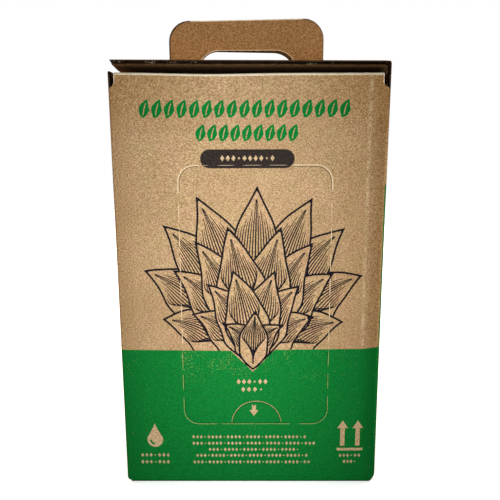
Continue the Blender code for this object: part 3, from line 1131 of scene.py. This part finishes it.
def kraft_colour(nodes, tone, paper):
    """Kraft paper, with rosy patches where it is bare, darker clouds, flecks and light fibres."""
    colour = nodes.blend(tone, *paper)
    if paper == KRAFT_PAPER:
        rosy = nodes.fade(nodes.noise(16 * MM, 2.0), 0.42, 0.60, 0.0, 0.8)
        colour = nodes.blend(rosy, colour, nodes.blend(tone, *ROSY_PAPER))
    clouds = nodes.fade(nodes.noise(40 * MM, 2.0), 0.35, 0.65, 0.0, 0.22)
    colour = nodes.blend(clouds, colour, paper[0])
    flecks = nodes.fade(nodes.noise(FLECK, 2.0, 0.5, (1.0, 1.0, 1.8)), 0.66, 0.74, 0.0, 0.7)
    colour = nodes.blend(flecks, colour, KRAFT_FLECK)
    fibres = nodes.fade(nodes.noise(1.6 * MM, 2.0, 0.5, (1.0, 1.0, 3.5)), 0.67, 0.75, 0.0, 0.45)
    return nodes.blend(fibres, colour, KRAFT_FIBRE)


def front_share(nodes, y):
    return nodes.fade(y, -60 * MM, -45 * MM, 1.0, 0.0)


def painted_shade_share(nodes):
    """How much painted shade darkens the front, where the light falls off: most at its right fold and its
    top corners.
    """
    x, y, z = nodes.axes()
    right = nodes.plus(nodes.fade(x, 50 * MM, 90 * MM, 0.0, 0.3), nodes.fade(x, 87 * MM, 97 * MM, 0.0, 0.5))
    left = nodes.fade(x, -98 * MM, -80 * MM, 0.35, 0.0)
    corners = nodes.fade(nodes.calculate("ABSOLUTE", x), 20 * MM, 75 * MM, 0.0, 0.50)
    top = nodes.times(nodes.fade(z, 262 * MM, 310 * MM), corners)
    return nodes.times(nodes.plus(left, right, top), front_share(nodes, y))


def panel_material(name):
    """The walls' kraft paper, with painted shade, darker and warmer, towards the front's folds and top
    corners, and a pale line beside the right fold that is partly rubbed paper and partly painted highlight.
    """
    nodes, tone = start_board(name, 0.85)
    colour = kraft_colour(nodes, tone, KRAFT_PAPER)
    x, y, _ = nodes.axes()
    # A pale line where the panel bends beside the right fold: partly rubbed paper, partly a painted
    # highlight of the ridge
    line = (nodes.fade(x, 84.0 * MM, 85.5 * MM), nodes.fade(x, 86.5 * MM, 88.0 * MM, 1.0, 0.0))
    patches = nodes.fade(nodes.noise(4 * MM, 3.0, 0.6), 0.38, 0.62, 0.1, 0.7)
    rubbed = nodes.times(*line, patches, front_share(nodes, y))
    # Painted shade: darker, warmer paper towards the front's folds and top corners
    colour = nodes.blend(painted_shade_share(nodes), colour, nodes.blend(tone, *PAINTED_SHADE_PAPER))
    colour = nodes.blend(rubbed, colour, nodes.blend(tone, *RUBBED_HIGHLIGHT_PAPER))
    return nodes.finish(colour, nodes.fade(tone, 0.0, 1.0, 0.92, 0.80))


def kraft_material(name, paper=KRAFT_PAPER, flutes="walls"):
    nodes, tone = start_board(name, 0.85, flutes=flutes)
    return nodes.finish(kraft_colour(nodes, tone, paper), nodes.fade(tone, 0.0, 1.0, 0.92, 0.80))


def ink_material(name, dark, light, roughness):
    """A thin ink through which the grain of the paper still shows."""
    nodes, tone = start_board(name, roughness, 0.06)
    return nodes.finish(nodes.blend(tone, dark, light), nodes.fade(tone, 0.0, 1.0, 0.8, 0.65))


def green_material():
    """Flat green ink, mottled by the paper and with specks that it missed under the band's top."""
    nodes, tone = start_board("green_print", 0.6, 0.04)
    colour = nodes.blend(tone, *GREEN_INK)
    # Painted shade: darker green towards the front's folds and top corners
    colour = nodes.blend(painted_shade_share(nodes), colour, GREEN_PAINTED_SHADE)
    x, y, z = nodes.axes()
    near_top = (nodes.fade(z, 72 * MM, 108 * MM, 0.0, 0.115), nodes.fade(z, 116 * MM, 122 * MM, 1.0, 0.0))
    in_window = nodes.fade(nodes.calculate("ABSOLUTE", x), 48 * MM, 62 * MM, 1.0, 0.25)
    patches = nodes.fade(nodes.noise(20 * MM, 1.0), 0.38, 0.62)
    weight = nodes.times(*near_top, front_share(nodes, y), patches, in_window)
    specks = nodes.plus(nodes.noise(1.0 * MM, 2.0, 0.6), weight)
    colour = nodes.blend(nodes.fade(specks, 0.69, 0.74, 0.0, 0.75), colour, GREEN_SPECK)
    return nodes.finish(colour, nodes.fade(tone, 0.0, 1.0, 0.72, 0.55))


def worn_highlight_material():
    """Paper that a crease or a cut has rubbed pale, in patches, which also serves as painted highlight
    along folds and cut edges.
    """
    nodes = Nodes("worn_paper", 0.9)
    nodes.bump(paper_tone(nodes), *PAPER_GRAIN)
    patches = nodes.fade(nodes.noise(7 * MM, 3.0, 0.6), 0.30, 0.62, 0.55, 1.0)
    return nodes.finish(nodes.blend(patches, KRAFT_PAPER[1], WORN_HIGHLIGHT_PALE))


# The liner's face inside the board, dark as painted shade in the flutes
def inside_material():
    nodes = Nodes("inner_liner", 0.9)
    tone = paper_tone(nodes)
    nodes.bump(tone, *PAPER_GRAIN)
    colour = nodes.blend(tone, *INSIDE_SHADE_PAPER)
    flecks = nodes.fade(nodes.noise(FLECK, 2.0), 0.66, 0.74, 0.0, 0.6)
    return nodes.finish(nodes.blend(flecks, colour, EDGE_SHADE_PAPER[1]))


def edge_material(name, dark, light, torn_share):
    """Raw edges and flutes: near black as painted shade of the flute openings, streaked along the board,
    with torn light fibres.
    """
    nodes = Nodes(name, 0.9, 0.02)
    streaks = nodes.noise(1.2 * MM, 4.0, 0.65, (0.35, 0.35, 2.0))
    colour = nodes.blend(nodes.fade(streaks, 0.35, 0.65), dark, light)
    patches = nodes.fade(nodes.noise(16 * MM, 2.0), 0.45, 0.62)
    torn = nodes.times(nodes.noise(0.7 * MM, 1.0, 0.5, (0.7, 1.0, 1.4)), patches)
    colour = nodes.blend(nodes.fade(torn, 0.60, 0.67, 0.0, torn_share), colour, KRAFT_FIBRE)
    nodes.bump(nodes.noise(0.5 * MM, 3.0, 0.6), 0.15 * MM, 0.7)
    return nodes.finish(colour)


def floor_material():
    """Pale studio paper, a little mottled, which the camera sees lit from below away from the carton."""
    nodes = Nodes("pale_floor", 0.9)
    cloud = nodes.fade(nodes.noise(350 * MM, 3.0), 0.3, 0.7)
    grain = nodes.fade(nodes.noise(1.5 * MM, 3.0, 0.6), 0.3, 0.7, 0.0, 0.35)
    colour = nodes.blend(cloud, FLOOR_PALE, FLOOR_PALEST)
    colour = nodes.blend(grain, colour, FLOOR_GRAIN)
    nodes.bump(nodes.noise(1.0 * MM, 3.0, 0.6), 0.05 * MM, 0.3)
    distance = nodes.add("VectorMath", {0: nodes.place})
    distance.operation = "LENGTH"
    seen = nodes.add("LightPath").outputs["Is Camera Ray"]
    glow = nodes.fade(distance.outputs["Value"], GLOW_START, GLOW_END, GLOW_NEAR, 1.0)
    feed(nodes.tree, nodes.shader.inputs["Emission Color"], WHITE)
    feed(nodes.tree, nodes.shader.inputs["Emission Strength"], nodes.times(glow, seen))
    return nodes.finish(nodes.blend(seen, FLOOR_BOUNCE, colour))


def shared_materials():
    """What the material indices from GREEN on point at."""
    return [
        green_material(),
        ink_material("line_ink", (0.0035, 0.003, 0.006), (0.016, 0.012, 0.017), 0.7),
        ink_material("pill_ink", (0.018, 0.012, 0.010), (0.042, 0.030, 0.025), 0.7),
        ink_material("cut_fibre", (0.18, 0.28, 0.06), (0.52, 0.56, 0.22), 0.9),
        edge_material("cut_edge", *EDGE_SHADE_PAPER, 0.85),
        inside_material(),
        worn_highlight_material(),
        # Painted shade along the handle's cut edge
        ink_material("dark_rim", (0.10, 0.050, 0.018), (0.20, 0.105, 0.042), 0.9),
        edge_material("liner_edge", *LINER_EDGE_SHADE_PAPER, 0.3),
        # Inner liner, darkened partly as painted shade
        kraft_material("inner_kraft", INNER_SHADED_PAPER),
        # Painted shade on the inner flank of a cut, in kraft and in green
        ink_material("crushed_kraft", (0.11, 0.062, 0.026), (0.25, 0.155, 0.074), 0.9),
        ink_material("crushed_green", (0.0015, 0.070, 0.012), (0.0030, 0.115, 0.020), 0.7),
        panel_material("kraft_panel"),
        kraft_material("pressed_kraft", PRESSED_HIGHLIGHT_PAPER),
        kraft_material("unprinted_kraft", MARK_PAPER),
    ]


# Camera, from the perspective of the photograph's front panel
CAMERA_PLACE = Vector((0.0024, -0.4311, 0.2556))
CAMERA_PITCH = math.radians(9.93)
CAMERA_YAW = math.radians(0.366)
CAMERA_ROLL = math.radians(-0.223)
LENS = 36.0


def make_camera():
    data = bpy.data.cameras.new("camera")
    data.lens = LENS
    data.sensor_width = LENS
    data.clip_start = 0.01
    camera = show("camera", data)
    turn = Matrix.Rotation(CAMERA_YAW, 4, "Z")
    tip = Matrix.Rotation(math.pi / 2 - CAMERA_PITCH, 4, "X")
    roll = Matrix.Rotation(CAMERA_ROLL, 4, "Z")
    camera.matrix_world = Matrix.Translation(CAMERA_PLACE) @ turn @ tip @ roll
    bpy.context.scene.camera = camera


# Studio: a wide pale floor that glows away from the carton, as lit studio paper does,
# a tall soft light close in front of the panel and wide ones above and at both sides
WORLD_LIGHT = 0.07
DAYLIGHT = (1.0, 1.09, 1.13)
SOFT_LIGHT = (1.0, 0.94, 0.87)
LAMPLIGHT = (1.0, 0.74, 0.50)
FLOOR_RADIUS = 6.0
FLOOR_PALE = (0.94, 0.89, 0.86)
FLOOR_PALEST = (0.96, 0.91, 0.88)
FLOOR_GRAIN = (0.92, 0.87, 0.84)
FLOOR_BOUNCE = (0.46, 0.35, 0.26)
GLOW_START = 0.12
GLOW_END = 0.55
GLOW_NEAR = 0.60


def make_floor():
    form = bmesh.new()
    bmesh.ops.create_circle(form, cap_ends=True, segments=96, radius=FLOOR_RADIUS)
    mesh = bpy.data.meshes.new("floor")
    form.to_mesh(mesh)
    form.free()
    mesh.materials.append(floor_material())
    show("floor", mesh)


def add_area(name, place, target, width, height, watts, colour):
    data = bpy.data.lights.new(name, "AREA")
    data.color = colour
    data.shape = "RECTANGLE"
    data.size = width
    data.size_y = height
    data.energy = watts
    light = show(name, data)
    light.visible_camera = False
    light.location = place
    aim = Vector(target) - Vector(place)
    light.rotation_euler = aim.to_track_quat("-Z", "Y").to_euler()


def make_lights():
    add_area("front", (-0.008, -0.215, 0.184), (-0.008, -0.065, 0.184), 0.04, 0.316, 0.450, DAYLIGHT)
    add_area("handle", (-0.020, -0.043, 0.344), (-0.020, 0.0, 0.344), 0.22, 0.014, 0.0145, LAMPLIGHT)
    add_area("above", (0.0, 1.05, 1.6), (0.0, 0.5, 0.0), 2.2, 2.2, 45.0, SOFT_LIGHT)
    add_area("left", (-1.2, 0.5, 0.7), (0.0, 0.0, 0.15), 0.9, 0.9, 9.0, LAMPLIGHT)
    add_area("right", (1.2, 0.5, 0.7), (0.0, 0.0, 0.15), 0.9, 0.9, 9.0, LAMPLIGHT)


def make_world():
    """White behind everything, and only a little light from all round."""
    world = bpy.data.worlds.new("studio")
    bpy.context.scene.world = world
    world.use_nodes = True
    tree = world.node_tree
    seen = add_node(tree, "LightPath").outputs["Is Camera Ray"]
    strength = add_node(tree, "MapRange", {"Value": seen, "To Min": WORLD_LIGHT, "To Max": 1.0})
    background = tree.nodes["Background"].inputs
    feed(tree, background["Color"], WHITE)
    feed(tree, background["Strength"], strength.outputs["Result"])


def fit(piece, body, slot, *nodes):
    """Hide the parts that a piece stands in for, and attach it to the body that it moves with."""
    if nodes:
        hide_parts(*nodes)
    if body:
        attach(piece, body)


make_camera()
make_floor()
make_world()
make_lights()
bpy.context.scene.view_settings.view_transform = "Standard"

SHARED = shared_materials()
WALL_BOARD = [panel_material("kraft_walls")] + SHARED
FLAP_BOARD = [kraft_material("kraft_flaps", FLAP_PAPER, "x")] + SHARED
LID_BOARD = [kraft_material("kraft_lid", flutes="y")] + SHARED

fit(make_walls(WALL_BOARD), "carton", "printed_board", "carton_body")
for end in ("front", "rear"):
    is_front = end == "front"
    flap = make_handle_flap("handle_flap_" + end + "_board", is_front, FLAP_BOARD)
    fit(flap, "carton", "kraft_board", "handle_flap_" + end)
    flap = make_base_flap("base_flap_" + end + "_board", is_front, FLAP_BOARD)
    fit(flap, "carton", "printed_board", "base_flap_" + end)
for side, way in (("left", -1), ("right", 1)):
    tuck = make_base_tuck("base_tuck_" + side + "_board", way, LID_BOARD)
    fit(tuck, "carton", "kraft_board", "base_tuck_" + side)
fit(make_side_flap(LID_BOARD), "carton", "kraft_board", "side_flap_left")
fit(make_lid(LID_BOARD), "lid", "kraft_board", "lid")
crease = make_lid_crease(LID_BOARD)
fit(crease, None, "kraft_board")
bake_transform(crease)

bpy.context.view_layer.update()
